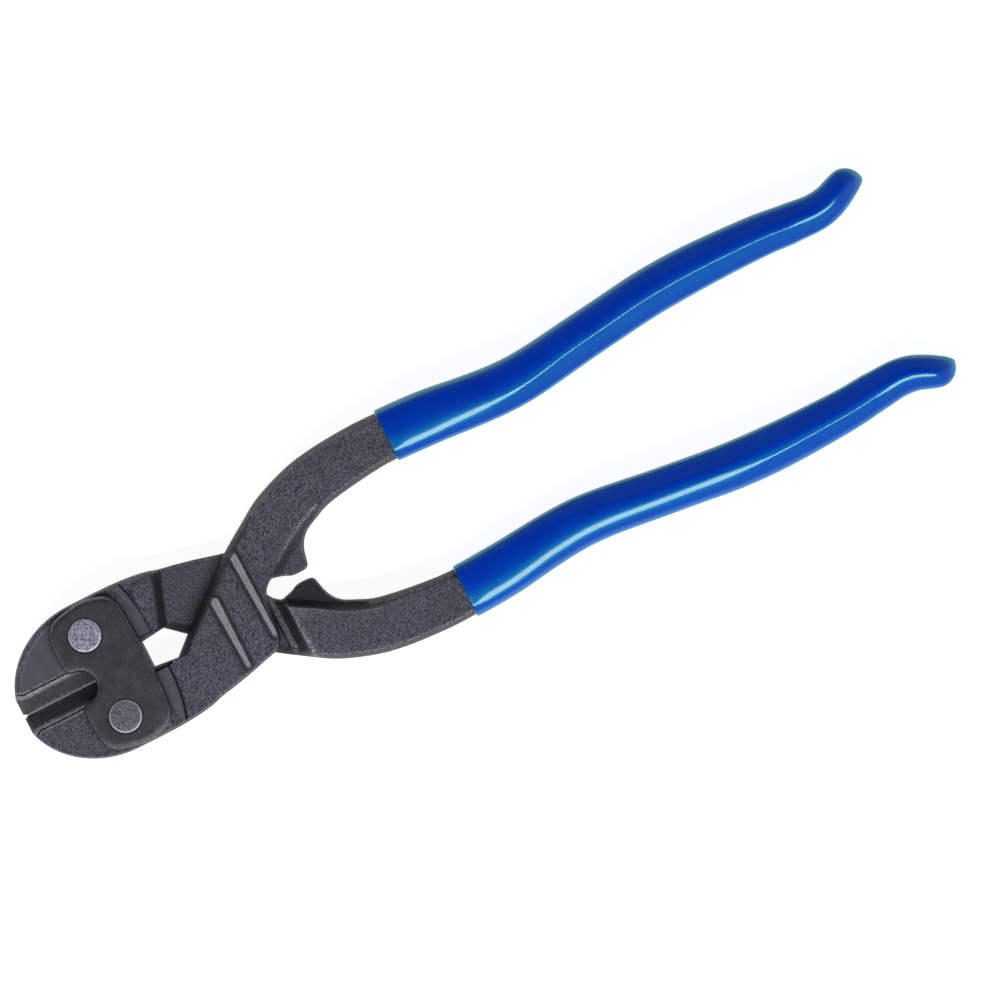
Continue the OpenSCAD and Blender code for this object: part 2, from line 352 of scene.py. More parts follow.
def lever_outline():
    """The outline loop, with its material on the left, and the inset of its rounded edge."""
    heel = [PIVOT + (9.1 - EDGE_Y) * np.array([math.cos(a), math.sin(a)])
            for a in np.radians([72, 76.5, 81, 85.5, 90])]
    stretches = [
        ([(PIVOT[0], -EDGE_Y), (NOSE_X + 0.9, -EDGE_Y)], 0.4, 0.15),
        ([(NOSE_X + 0.9, -EDGE_Y), (NOSE_X, -0.5)], 0.4, 0.15),
        ([(NOSE_X, -0.5), (NOSE_X, -3.6)], 0.4, 0.3),
        (np.vstack([[(NOSE_X, -3.6)], nose_curve()]), 0.45, 0.45),
        (smooth([(-82, -16), (-77, -16), (-72, -15.9), (-67.5, -15.5), (-64.6, -15),
                 (-62.4, -14.35), (-59, -13.7), (-55, -12.8), (-51.2, -11.8), (-49.3, -11.35),
                 (-48, -10.9), (-47, -9.9), (-46.4, -8), (-45.95, -5), (-45.6, -2.2),
                 (-45.2, -0.1)]), 0.4, 0.6),
        (smooth([(-45.2, -0.1), (-44.4, 1.2), (-43, 2.25), (-41.7, 2.05), (-40.3, 1.65),
                 (-38.7, 1.0), (-36.3, 0.95), (-35.2, 1.4), (-34.75, 2.8), (-34.3, 4.6),
                 (-33.4, 6.4), (-32, 7.8), (-30.2, 8.75), (-29.2, 9.2)]), 0.35, 0.5),
        (HANDLE_IN[6:], 0.6, DRAFT),
        (np.vstack([HANDLE_IN[-1:], HANDLE_OUT[-1:]]), 0.8, DRAFT),
        (HANDLE_OUT[::-1][:-4], 0.6, DRAFT),
        (smooth([(-28.3, 21.55), (-31, 20.85), (-35, 19.5), (-39.1, 17.7), (-43.1, 15.2)]),
         0.45, DRAFT),
        (smooth([(-43.1, 15.2), (-49.2, 11.1), (-56.2, 5.5), (-62.9, 0.1), (-65, -1.75),
                 (-66.8, -3.3)]), 0.45, 1.9),
        ([(-66.8, -3.3), (-72, -2.75)] + heel, 0.35, 0.3)]
    loop, inset = [], []
    for points, gap, edge in stretches:
        part = resample(points, gap)
        loop.append(part[:-1])
        inset += [edge] * (len(part) - 1)
    loop, inset = np.vstack(loop), np.array(inset)
    inset = inset + (TANG_DRAFT - inset) * in_grip(loop[:, 0])
    inset = np.minimum(inset, np.interp(loop[:, 0], [84, 92, 95], [TANG_DRAFT, 1.0, 0.5]))
    keep = np.linalg.norm(np.roll(loop, -1, axis=0) - loop, axis=1) > 0.05
    return loop[keep], spread(inset[keep], loop[keep], 0.9, True)


# x, y and radius at the two ends of each rib
RIBS = [((-55.1, 3.3), 0.88, (-54.8, -11.1), 0.5), ((-47.7, 10.0), 0.78, (-47.2, -7.9), 0.5)]
FRONT_DRAFT = smooth([(-44, 1.3), (-42.3, 3), (-40.1, 4.8), (-37, 7), (-33, 9.4), (-27.9, 11.6)], 6)
BACK_DRAFT = smooth([(-43, 3.2), (-41.9, 4.5), (-38, 6.8), (-33, 10), (-27, 12.4), (-21, 13.4),
                     (-10.8, 14)], 6)
RAMP = [(-68.1, -3), (-63.7, -15.6)]         # head-side ramp, its top line
RAMP_RUN = 1.95
STEP_FOOT = [(-46.05, -1), (-45.75, 20)]     # handle-side step, the start of its ridge
POCKET = [(-69.8, -13.8), (-63.1, -13.5), (-66.7, -3.2), (-69.5, -3.2)]     # behind the seat
CROSSING = [(-67, -3.4), (-43.1, 15.2)]      # the edge that crosses over the other lever


def rib_distance(x, y, rib):
    """Distance outside a tapered rib, negative on its top."""
    a, ra, b, rb = np.array(rib[0]), rib[1], np.array(rib[2]), rib[3]
    d = b - a
    t = np.clip(((x - a[0]) * d[0] + (y - a[1]) * d[1]) / (d @ d), 0, 1)
    return np.hypot(x - a[0] - t * d[0], y - a[1] - t * d[1]) - (ra + (rb - ra) * t)


def bevel_line(x):
    """Where the ground V begins: a straight line that curls out at the front of the jaws."""
    return BEVEL + 0.22 * np.clip(NOSE_X + 2.6 - x, 0, 3) ** 2


def jaw_field(x, y, z):
    """Cuts the seat, the heel ledge and the ground V into a face at height z."""
    past_seat = np.where(x > PIVOT[0], np.hypot(x - SEAT_ARC[0], y - SEAT_ARC[1]) - SEAT_R, -1)
    groove = 0.35 * np.exp(-(past_seat / 0.16) ** 2)
    z = SEAT + (z - SEAT) * step(-0.05, 0.2, past_seat) - groove
    ledge = step(3.95, 3.6, -y) * step(-68.2, -68.6, x) * step(-74, -73.4, x)
    z = z - ledge * (z - SEAT + 0.9)
    line = bevel_line(x)
    share = np.clip(-y / line, 0, 1.2)
    v = np.interp(share, [0, 0.04, V_END, 0.7, STRIP_END, 0.97, 1.0, 1.03],
                  [0.06, 0.3, 2.85, 2.95, 3.75, 3.45, 3.45, SEAT])
    return np.where(x < JAW_END, np.minimum(z, np.where(share < 1.03, v, z)), z)


def front_field(x, y):
    z = FORGED + 0.035 * waves(x, y, 7, 1) + 0.012 * waves(x, y, 1.9, 2)
    for rib in RIBS:
        d = rib_distance(x, y, rib)
        z = z - 0.24 * step(1.3, 0.4, d) + (RIB + 0.2) * step(0.36, -0.12, d)
    below = line_side(x, y, FRONT_DRAFT)
    sunk = np.clip(-below * 1.5, 0, FORGED - WEB)
    sunk = np.where(x > -45, sunk, 0)
    near_web = step(-27, -31, x)
    z = z - sunk * near_web - TANG_THIN * in_grip(x)
    return jaw_field(x, y, z)


def back_field(x, y):
    z = FORGED + 0.035 * waves(x, y, 8, 3) + 0.012 * waves(x, y, 1.9, 4)
    corners = np.array(POCKET + POCKET[:1])
    into = line_side(x, y, corners)
    into = np.where(inside(x, y, corners[:-1]), np.abs(into), -np.abs(into))
    z = z - 0.75 * step(-0.1, 0.6, into)
    z = jaw_field(x, y, z)
    past_ramp = line_side(x, y, RAMP)
    z = z + (-LAP - z) * step(0, RAMP_RUN, past_ramp)
    lap = -LAP - 0.02 * (1 + waves(x, y, 4, 5))
    past_step = -line_side(x, y, STEP_FOOT)
    rise = (0.95 * step(0.0, 0.4, past_step) - 0.8 * step(1.55, 1.85, past_step)
            + (FORGED - 0.15) * step(1.85, 3.7, past_step))
    handle = FORGED - 0.25 * step(5.2, 3.6, past_step) + 0.035 * waves(x, y, 8, 6)
    sunk = np.clip(line_side(x, y, BACK_DRAFT) * -1.7, 0, FORGED - WEB)
    crossing = np.where(past_ramp > RAMP_RUN, lap, z)
    behind = np.minimum(lap + rise, handle - sunk * step(-24, -31, x) - 0.5 * sunk * step(-31, -24, x))
    z = np.where(past_step > 0, behind, np.where(x > -70, crossing, z))
    return z - TANG_THIN * in_grip(x)


def rows_about(points, offsets):
    """Copies of a polyline moved sideways by each offset."""
    p = np.array(points, float)
    d = np.gradient(p, axis=0)
    d /= np.linalg.norm(d, axis=1)[:, None]
    left = np.column_stack([-d[:, 1], d[:, 0]])
    return [p + left * o for o in offsets]


def lever_rows():
    """Polylines that the lever's faces have to follow."""
    rows = [arc(SEAT_ARC, SEAT_R + o, -20, 6) for o in (-0.3, -0.15, 0, 0.15, 0.3)]
    xs = np.linspace(NOSE_X, JAW_END, 60)
    for share in (0.06, V_END, STRIP_END, 0.975, 1.0, 1.03):
        rows.append(np.column_stack([xs, -bevel_line(xs) * share]))
    rows.append([(JAW_END, -0.1), (JAW_END, -4.2)])
    rows.append([(PIVOT[0] - 1.3, -0.1), (PIVOT[0] - 1.3, -4.2)])
    for rib in RIBS:
        a, b = np.array(rib[0]), np.array(rib[2])
        heading = math.degrees(math.atan2(*(b - a)[::-1]))
        for o in (-0.12, 0.15, 0.42, 0.9):
            ra, rb = max(rib[1] + o, 0.1), max(rib[3] + o, 0.1)
            ring = np.vstack([arc(a, ra, heading + 90, heading + 270),
                              arc(b, rb, heading - 90, heading + 90)])
            rows.append(np.vstack([ring, ring[:1]]))
    rows += rows_about(FRONT_DRAFT, (0, -0.6, -1.2, -1.8))
    rows += rows_about(BACK_DRAFT, (0, -0.6, -1.2))
    rows += rows_about(resample(RAMP, 0.3), (0, 0.45, 0.95, 1.45, RAMP_RUN))
    rows += rows_about(resample(STEP_FOOT, 0.3),
                       (0, -0.2, -0.4, -1.55, -1.7, -1.85, -2.3, -2.8, -3.3, -3.7))
    rows += rows_about(resample([(-74, -3.78), (-68.2, -3.78)], 0.3), (-0.18, 0.18))
    pocket = np.array(POCKET + POCKET[:1])
    for a, b in zip(pocket, pocket[1:]):
        rows += rows_about(resample([a, b], 0.3), (-0.1, 0.2, 0.55))
    return rows


def steepness(v, faces):
    """How steep the surface is at each point: 0 on the level, 1 on an upright wall."""
    tri = np.array([(f[0], f[k], f[k + 1]) for f in faces for k in range(1, len(f) - 1)])
    a, b, c = v[tri[:, 0]], v[tri[:, 1]], v[tri[:, 2]]
    across = np.cross(b - a, c - a)
    total = np.zeros_like(v)
    for corner in tri.T:
        np.add.at(total, corner, across)
    return 1 - np.abs(total[:, 2]) / np.maximum(np.linalg.norm(total, axis=1), 1e-9)


def lever_marks(v, edge, faces):
    """How machined, worn, ground or darkened by painted shade each point of a lever is, from 0 to 1."""
    x, y, z = v.T
    front = z > 1.0
    on_face = edge > 0.9
    past_seat = np.hypot(x - SEAT_ARC[0], y - SEAT_ARC[1]) - SEAT_R
    seat = ((past_seat < 0) | (x < PIVOT[0])) & on_face
    share = -y / bevel_line(x)
    jaw = (x < JAW_END) & on_face
    rough_strip = jaw & (share > V_END + 0.01) & (share < 1.0)
    ground = jaw * (share <= V_END)
    as_forged = front & (x < PIVOT[0] - 6.5) & (share > 1)
    from_nose = NOSE_WIDE * (1 - np.hypot((x - NOSE_CENTRE) / NOSE_LONG, y / NOSE_WIDE))
    rim = step(1.5, 0.8, from_nose) * (x < -72)
    seat = seat | (~front & (np.abs(x + 66.5) < 2.8) & (y < -13.9) & on_face)    # pocket's rim
    machined = np.clip(seat * 1.0 - rough_strip - np.maximum(as_forged * 0.9, rim), 0, 1)

    rib_top, moat, rib_rim = np.zeros(len(v)), np.zeros(len(v)), np.zeros(len(v))
    for rib in RIBS:
        off = rib_distance(x, y, rib)
        rib_top = np.maximum(rib_top, (off < -0.02) * front * on_face)
        moat = np.maximum(moat, step(0.0, 0.2, off) * step(1.25, 0.5, off) * front)
        rib_rim = np.maximum(rib_rim, 0.6 * np.exp(-((off + 0.12) / 0.14) ** 2) * front)

    crossing = np.abs(line_side(x, y, CROSSING)) < 2.3
    shaded = crossing | ((x > -47.4) & (x < -44.8) & (y < -0.1) & (y > -10.5))
    worn = 0.75 * np.exp(-((edge - 0.955) / 0.07) ** 2) * (edge < 0.995)
    worn = np.maximum(worn * np.where(crossing, 0.15, 1), rib_rim)
    worn = np.maximum(worn, 0.95 * (jaw & (share > 1.0) & (share < 1.1)))
    worn = np.maximum(worn, 0.5 * jaw * (share < 0.06))
    draft = np.where(front, line_side(x, y, FRONT_DRAFT), line_side(x, y, BACK_DRAFT))
    along = np.where(front, step(-41, -38, x) * step(-25, -29, x), 0.35 * step(-14, -20, x))
    worn = np.maximum(worn, np.exp(-((draft - 0.05) / 0.27) ** 2) * along * (edge > 0.99) * (x > -43))
    past_step = -line_side(x, y, STEP_FOOT)
    step_edge = np.exp(-((past_step - 3.9) / 0.28) ** 2) + 0.4 * step(5.5, 4.0, past_step)
    worn = np.maximum(worn, ~front * step_edge * (draft > -0.2) * (past_step > 3.6))
    worn = np.maximum(worn, ~front * 0.4 * step(0.3, 0.5, past_step) * step(1.7, 1.5, past_step))
    corner = np.exp(-(((x + 40.3) / 1.3) ** 2 + ((y - 5.7) / 1.8) ** 2))
    worn = np.maximum(worn, 0.6 * ~front * corner * (draft > 0.1))

    # painted_shade darkens the colour as painted shade: steep walls, the troughs beside the ribs, the ramp,
    # the web behind the step and the band where the crossing edge casts its shadow
    painted_shade = steepness(v, faces) * np.where((edge < 0.99) & ~shaded, 0.75, 1)
    painted_shade = np.maximum(painted_shade, np.where(crossing, 0.8, 0.5) * (shaded & (edge < 0.99)))
    painted_shade = np.maximum(painted_shade, jaw & (share > 0.955) & (share < 1.01))
    painted_shade = np.maximum(painted_shade, 0.45 * moat)
    past_ramp = line_side(x, y, RAMP)
    on_ramp = ~front & (past_ramp > 0.1) & (past_ramp < RAMP_RUN) & (y < -2.5) & (x > -70)
    painted_shade = np.maximum(painted_shade, 0.42 * on_ramp)
    # painted shadow on the web behind the step
    web = ~front & (x > -45.5) & (x < -27.5) & (past_step > 1.9) & (draft < -0.3)
    painted_shade = np.maximum(painted_shade, 0.6 * web)
    return {"machined": machined, "worn": worn, "ground": ground * 1.0, "rib_top": rib_top,
            "strip": (rough_strip & (share < STRIP_END)) * 1.0, "painted_shade": painted_shade}


def build_levers(material):
    """The one forging, used twice."""
    loop, inset = lever_outline()
    bore = arc(PIVOT, BORE_R, 360, 0, 0.4)[:-1]
    verts, faces, edge = slab([loop, bore], [inset, np.full(len(bore), 0.2)],
                              front_field, back_field, lever_rows(), 0.5, coarse=-6)
    marks = lever_marks(verts, edge, faces)
    for name, body, turned in (("lever_a", "arm_a", False), ("lever_b", "arm_b", True)):
        obj = new_object("forged_" + name, verts, faces, marks, material, turned)
        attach(obj, body)
        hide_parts(name)


# ---------------------------------------------------------------- side plates and rivets

def plate_loop():
    """The side plate's outline: rounded, with the slot open toward the jaws."""
    slot_x, slot_r = PIVOT[0] - 5.45, 3.25
    back = smooth([(-71.95, 0), (-72.05, 6), (-72.4, 11), (-73.1, 13), (-74.7, 14.5),
                   (-77.5, 15.35), (-80.5, 15.5), (-85.4, 14.6), (-87.5, 13.1), (-88.35, 11),
                   (-88.6, 8.5), (-88.55, 5.05)])
    upper = np.vstack([back, arc((slot_x + 0.2, 5.05), 1.8, 180, 268),
                       arc((slot_x, 0), slot_r, 86, 0)])
    whole = np.vstack([upper, upper[::-1] * (1, -1)])
    loop = resample(np.vstack([whole, whole[:1]]), 0.4)[:-1]
    keep = np.linalg.norm(np.roll(loop, -1, axis=0) - loop, axis=1) > 0.05
    return loop[keep]


def build_plates(material):
    loop = plate_loop()
    holes = [arc((PIVOT[0], s * PIVOT[1]), HEAD_R + 0.02, 360, 0, 0.35)[:-1] for s in (1, -1)]
    insets = [np.full(len(loop), 0.65)] + [np.full(len(h), 0.3) for h in holes]
    half = (PLATE_OUT - PLATE_IN) / 2

    def outer(x, y):
        return half + 0.012 * waves(x, y, 6, 11)

    def inner(x, y):
        return np.full(np.shape(x), half)

    verts, faces, edge = slab([loop] + holes, insets, outer, inner, [], 0.7)
    verts[:, 2] += (PLATE_IN + PLATE_OUT) / 2
    worn = np.exp(-((edge - 0.9) / 0.12) ** 2) * (edge < 0.995)
    for name, turned in (("side_plate_front", False), ("side_plate_rear", True)):
        obj = new_object("punched_" + name, verts, faces, {"worn": worn}, material, turned)
        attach(obj, "head")
        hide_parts(name)


def lathe(profile, centre, rough, seed, around=96):
    """A closed solid of revolution about Z through centre, from (radius, height) points.

    Its faces are uneven by about rough.
    """
    verts, faces = [], []
    a = np.linspace(0, 2 * math.pi, around, endpoint=False)
    for r, z in profile:
        x, y = centre[0] + r * np.cos(a), centre[1] + r * np.sin(a)
        lift = rough * waves(x, y, 1.3, seed) * np.sign(z)
        verts.extend(np.column_stack([x, y, np.full(around, z) + lift]).tolist())
    for k in range(len(profile) - 1):
        for j in range(around):
            n = (j + 1) % around
            faces.append((k * around + j, k * around + n, (k + 1) * around + n, (k + 1) * around + j))
    for ring, flip in ((0, True), (len(profile) - 1, False)):
        cap = list(range(ring * around, (ring + 1) * around))
        faces.append(cap[::-1] if flip else cap)
    return np.array(verts), faces


def build_rivets(material):
    """Two flat-headed rivets, a little domed, with a rounded rim."""
    face = [(HEAD_R * s, RIVET_TOP - 0.05 * s ** 4) for s in (0.02, 0.2, 0.38, 0.55, 0.72, 0.86)]
    rim = [(HEAD_R - 0.3, RIVET_TOP - 0.04), (HEAD_R - 0.2, RIVET_TOP - 0.09),
           (HEAD_R - 0.04, RIVET_TOP - 0.3), (HEAD_R, RIVET_TOP - 0.38),
           (HEAD_R, PLATE_OUT - 0.5), (HEAD_R - 0.1, PLATE_IN + 0.02), (SHANK_R, PLATE_IN + 0.01)]
    top = face + rim
    profile = [(r, -z) for r, z in top] + top[::-1]
    for name, side, polish in (("rivet_a", 1, 0.25), ("rivet_b", -1, 1.0)):
        centre = (PIVOT[0], side * PIVOT[1])
        verts, faces = lathe(profile, centre, rough=0.012, seed=20 + side)
        far = np.hypot(verts[:, 0] - centre[0], verts[:, 1] - centre[1])
        worn = np.exp(-((far - HEAD_R + 0.15) / 0.15) ** 2)
        marks = {"worn": worn, "polish": np.full(len(verts), polish)}
        obj = new_object("peened_" + name, verts, faces, marks, material)
        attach(obj, "head")
        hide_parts(name)


# ---------------------------------------------------------------- grips

AROUND = 144           # points round a grip
GRIP_THICK = 5.4       # half thickness of a grip at its mouth
ANGLES = np.linspace(0, 2 * math.pi, AROUND, endpoint=False)
ANGLES = ANGLES + 0.3 * np.sin(2 * ANGLES)      # closer together on the top and the bottom


def at_handle(x):
    """y of the handle's centre and its steel half width at x."""
    return (np.interp(x, FINE_HANDLE[:, 0], FINE_HANDLE[:, 1]),
            np.interp(x, FINE_HANDLE[:, 0], FINE_HANDLE[:, 2]))


def quarter_reach(points):
    """Distance to a quarter outline, from (half, 0) to (0, thick), in each direction of ANGLES."""
    q = resample(points, 0.03)
    folded = np.arctan2(np.abs(np.sin(ANGLES)), np.abs(np.cos(ANGLES)))
    return np.interp(folded, np.arctan2(q[:, 1], q[:, 0]), np.hypot(*q.T))


def steel_reach(x):
    """Distance from the handle's middle to its steel surface in each direction of ANGLES."""
    half = at_handle(x)[1]
    inset = min(DRAFT + (TANG_DRAFT - DRAFT) * in_grip(x), 0.8 * half)
    thick = FORGED - TANG_THIN * in_grip(x)
    return quarter_reach([(half - inset * a, thick * b) for a, b in EDGE_PROFILE] + [(0, thick)])


def filleted(corners, radii):
    """The polyline through the corners, with each inner one rounded by its radius."""
    p = np.array(corners, float)
    out = [p[:1]]
    for k, radius in enumerate(radii, 1):
        u, v = p[k - 1] - p[k], p[k + 1] - p[k]
        lu, lv = np.linalg.norm(u), np.linalg.norm(v)
        half_angle = math.acos(np.clip(u @ v / (lu * lv), -1, 1)) / 2
        reach = min(radius / math.tan(half_angle), 0.98 * lu, 0.98 * lv)
        a, b = p[k] + u / lu * reach, p[k] + v / lv * reach
        t = np.linspace(0, 1, 13)[:, None]
        weight = math.sin(half_angle)
        bend = (1 - t) ** 2 * a + 2 * weight * t * (1 - t) * p[k] + t ** 2 * b
        out.append(bend / ((1 - t) ** 2 + 2 * weight * t * (1 - t) + t ** 2))
    return np.vstack(out + [p[-1:]])


def grip_quarter(half, thick, ridge, radius):
    """A quarter of the grip's section: nearly level as far as ridge, then ever steeper to the side."""
    top = thick - 0.1 * ridge
    low = np.array([half * 0.83, top - (half * 0.83 - ridge) * 0.48])
    side = (half, low[1] - half * 0.17 * 1.75)
    dome = (ridge * 0.25, thick)
    return quarter_reach(filleted([(half, 0), side, low, (ridge, top), dome, (0, thick)],
                                  (2.3, 2.7, radius, 14)))


def grip_reach(x, half, thick):
    """Distance to the grip's section: round over the ridges near the cuff, crisp further on.

    The ridge toward the other handle turns crisp sooner, and both melt away at the hooked end.
    """
    melt = 5 * step(80, 88, x)
    inner = grip_quarter(half, thick, half * np.interp(x, [-9, 0, 9, 30, 50], [0.6, 0.57, 0.46, 0.22, 0.19]),
                         np.interp(x, [-9.3, -6, 9, 20, 30], [2, 9.5, 9, 2.5, 0.5]) + melt)
    outer = grip_quarter(half, thick,
                         half * np.interp(x, [-9, 0, 9, 30, 50, 70], [0.6, 0.57, 0.5, 0.43, 0.34, 0.24]),
                         np.interp(x, [-9.3, -6, 48, 58, 68], [2, 9.5, 8, 2, 0.5]) + melt)
    return np.where(np.cos(ANGLES) > 0, outer, inner)


# Outlines of the hooked end of a grip, from where they leave the handle line to the tip
NOSE_OUT = smooth([(80, 23.6), (84, 23.05), (88, 22.6), (91, 22.95), (93.5, 23.85), (95.7, 24.4),
                   (97.6, 24), (99.1, 22.8), (99.85, 21.4), (TIP_X, 20.7)])
NOSE_IN = smooth([(80, 15.1), (84, 14.85), (88, 14.8), (91.5, 15.35), (95, 16.8), (98.2, 18.75),
                  (99.6, 19.95), (TIP_X, 20.7)])
NOSE_X0, NOSE_X1 = 81, 92


def grip_span(x):
    """y of the grip's middle and its half width at x."""
    y, half = at_handle(x)
    half = half + WALL
    share = step(NOSE_X0, NOSE_X0 + 3, x)
    high = (y + half) * (1 - share) + np.interp(x, *NOSE_OUT.T) * share
    low = (y - half) * (1 - share) + np.interp(x, *NOSE_IN.T) * share
    return (high + low) / 2, (high - low) / 2


def grip_rings():
    """(x, centre y, reach) rings: inside from the closed end to the mouth, then outside."""
    rings = []
    for x in np.append(np.arange(FINE_HANDLE[-1][0], CUFF_X + 1, -3.0), CUFF_X + 0.6):
        rings.append((x, at_handle(x)[0], steel_reach(x) + 0.02))
    y, half = grip_span(CUFF_X)
    steel, skin = steel_reach(CUFF_X), grip_reach(CUFF_X, half, GRIP_THICK)
    for x, share in ((0.12, 0.1), (0, 0.35), (0.03, 0.6), (0.14, 0.82), (0.36, 0.95), (0.8, 1.0)):
        rings.append((CUFF_X + x, y, steel + (skin - steel) * share))
    for x in np.append(np.arange(CUFF_X + 1.4, NOSE_X1, 0.8),
                       NOSE_X1 + (TIP_X - NOSE_X1) * np.sin(np.radians(np.arange(4, 89, 4)))):
        y, half = grip_span(x)
        thick = np.interp(x, [-10, 10, 50, 80, 92], [GRIP_THICK, 5.55, 5.75, 5.75, 5.5])
        thick = thick * math.sqrt(max(0, 1 - (max(0, x - NOSE_X1) / (TIP_X - NOSE_X1 + 0.02)) ** 2))
        rings.append((x, y, grip_reach(x, half, thick)))
    return rings


def build_grips(material):
    """The dipped sleeves, with marks for the painted teal reflection on their steep flanks and for the
    painted shade at the lip of the mouth.
    """
    rings = grip_rings()
    verts, faces = [], []
    for x, y, reach in rings:
        r = reach * (1 + 0.004 * waves(x + 3 * np.cos(ANGLES), 3 * np.sin(ANGLES), 16, 31))
        verts.extend(np.column_stack([np.full(AROUND, x), y + r * np.cos(ANGLES),
                                      r * np.sin(ANGLES)]).tolist())
    for k in range(len(rings) - 1):
        for j in range(AROUND):
            n = (j + 1) % AROUND
            faces.append((k * AROUND + j, k * AROUND + n, (k + 1) * AROUND + n, (k + 1) * AROUND + j))
    last = (len(rings) - 1) * AROUND
    faces.append(list(range(AROUND))[::-1])
    faces.append([last + j for j in range(AROUND)])
    # painted reflection: the steep flanks get a lighter teal colour
    painted_flank_reflection = step(0.05, 0.8, steepness(np.array(verts), faces))
    # painted shade: the lip of the mouth is darkened where the sleeve meets the steel
    painted_lip_shade = step(CUFF_X + 0.24, CUFF_X + 0.08, np.array(verts)[:, 0])
    for name, body, turned in (("grip_a", "arm_a", False), ("grip_b", "arm_b", True)):
        obj = new_object("dipped_" + name, verts, faces, {"painted_flank_reflection": painted_flank_reflection, "painted_lip_shade": painted_lip_shade}, material,
                         turned, crisp=60)
        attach(obj, body)
        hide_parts(name)


# ---------------------------------------------------------------- materials

class Paint:
    """A material with a Principled shader and short calls for the nodes that feed it."""

    def __init__(self, name, **values):
        self.mat = bpy.data.materials.new(name)
        self.mat.use_nodes = True
        self.tree = self.mat.node_tree
        self.shader = self.tree.nodes["Principled BSDF"]
        for key, value in values.items():
            self.shader.inputs[key.replace("_", " ")].default_value = value
        self.place = self.tree.nodes.new("ShaderNodeTexCoord").outputs["Object"]

    def node(self, kind, links=(), **settings):
        n = self.tree.nodes.new("ShaderNode" + kind)
        for key, value in settings.items():
            setattr(n, key, value)
        for socket, value in links:
            if isinstance(value, bpy.types.NodeSocket):
                self.tree.links.new(value, n.inputs[socket])
            else:
                n.inputs[socket].default_value = value
        return n

    def noise(self, size_mm, detail=3.0, rough=0.55, along=0, longer=1):
        """Noise with features about size_mm across, and longer times that along a direction."""
        place = self.place
        if longer != 1:
            turn = (0, 0, math.radians(along))
            place = self.node("Mapping", [("Vector", place), ("Rotation", turn),
                                          ("Scale", (longer, 1, 1))], vector_type="TEXTURE").outputs[0]
        return self.node("TexNoise", [("Vector", place), ("Scale", 1 / (size_mm * MM)),
                                      ("Detail", detail), ("Roughness", rough)]).outputs["Fac"]

    def mark(self, name):
        return self.node("Attribute", attribute_name=name).outputs["Fac"]

    def math(self, op, a, b=0.0, c=0.0):
        return self.node("Math", [(0, a), (1, b), (2, c)], operation=op).outputs[0]

    def levels(self, value, low, high, to_low=0.0, to_high=1.0):
        """Value from low..high mapped to to_low..to_high, held at the ends."""
        return self.node("MapRange", [("Value", value), ("From Min", low), ("From Max", high),
                                      ("To Min", to_low), ("To Max", to_high)]).outputs[0]

    def mix(self, share, a, b):
        n = self.node("Mix", data_type="RGBA")
        for index, value in ((0, share), (6, a), (7, b)):
            if isinstance(value, bpy.types.NodeSocket):
                self.tree.links.new(value, n.inputs[index])
            else:
                n.inputs[index].default_value = (*value, 1) if index else value
        return n.outputs[2]

    def blend(self, share, a, b):
        n = self.node("Mix")
        for index, value in ((0, share), (2, a), (3, b)):
            if isinstance(value, bpy.types.NodeSocket):
                self.tree.links.new(value, n.inputs[index])
            else:
                n.inputs[index].default_value = value
        return n.outputs[0]

    def bump(self, height, depth_mm, normal=None):
        links = [("Height", height), ("Distance", depth_mm * MM), ("Strength", 1.0)]
        if normal:
            links.append(("Normal", normal))
        return self.node("Bump", links).outputs[0]

    def feed(self, **sockets):
        for key, value in sockets.items():
            self.tree.links.new(value, self.shader.inputs[key.replace("_", " ")])
        return self.mat


